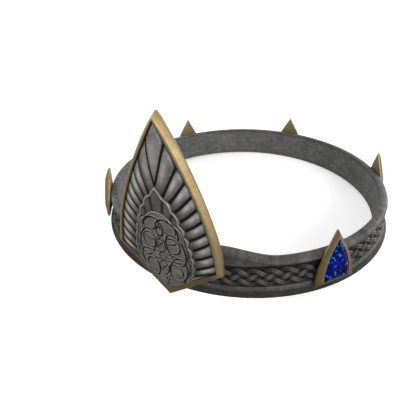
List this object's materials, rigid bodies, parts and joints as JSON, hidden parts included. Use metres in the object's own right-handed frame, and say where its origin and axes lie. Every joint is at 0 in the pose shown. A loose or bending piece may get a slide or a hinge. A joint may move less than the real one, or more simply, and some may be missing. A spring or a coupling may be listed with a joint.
{
  "type": "circlet",
  "caption": "Cast silver-grey circlet with a raised plait round the band, a tall feathered front plate in a gold border, and pointed gold settings with dark blue stones",
  "frame": {"origin": "centre of the bounding box, at the height of the front plate's lower tip, which is the lowest point", "axes": "+Z is the band's axis, upward as worn; the front plate faces -Y; +X is to the plate's right as its front is looked at"},
  "size_m": [0.2016, 0.2088, 0.1071],
  "materials": {
    "antiqued_silver": "cast pewter-like metal, satin, dark in its recesses",
    "satin_gold": "satin, lightly worn",
    "blue_stone": "polished, opaque deep blue with light flecks"
  },
  "bodies": {
    "root": {"band": "antiqued_silver", "front_plate": "antiqued_silver", "plate_border": "satin_gold", "plate_post_left": "antiqued_silver", "plate_post_right": "antiqued_silver", "setting_front_right": "satin_gold", "setting_rear_right": "satin_gold", "setting_rear": "satin_gold", "setting_rear_left": "satin_gold", "setting_front_left": "satin_gold", "stone_front_right": "blue_stone", "stone_rear_right": "blue_stone", "stone_rear": "blue_stone", "stone_rear_left": "blue_stone", "stone_front_left": "blue_stone"}
  },
  "joints": []
}
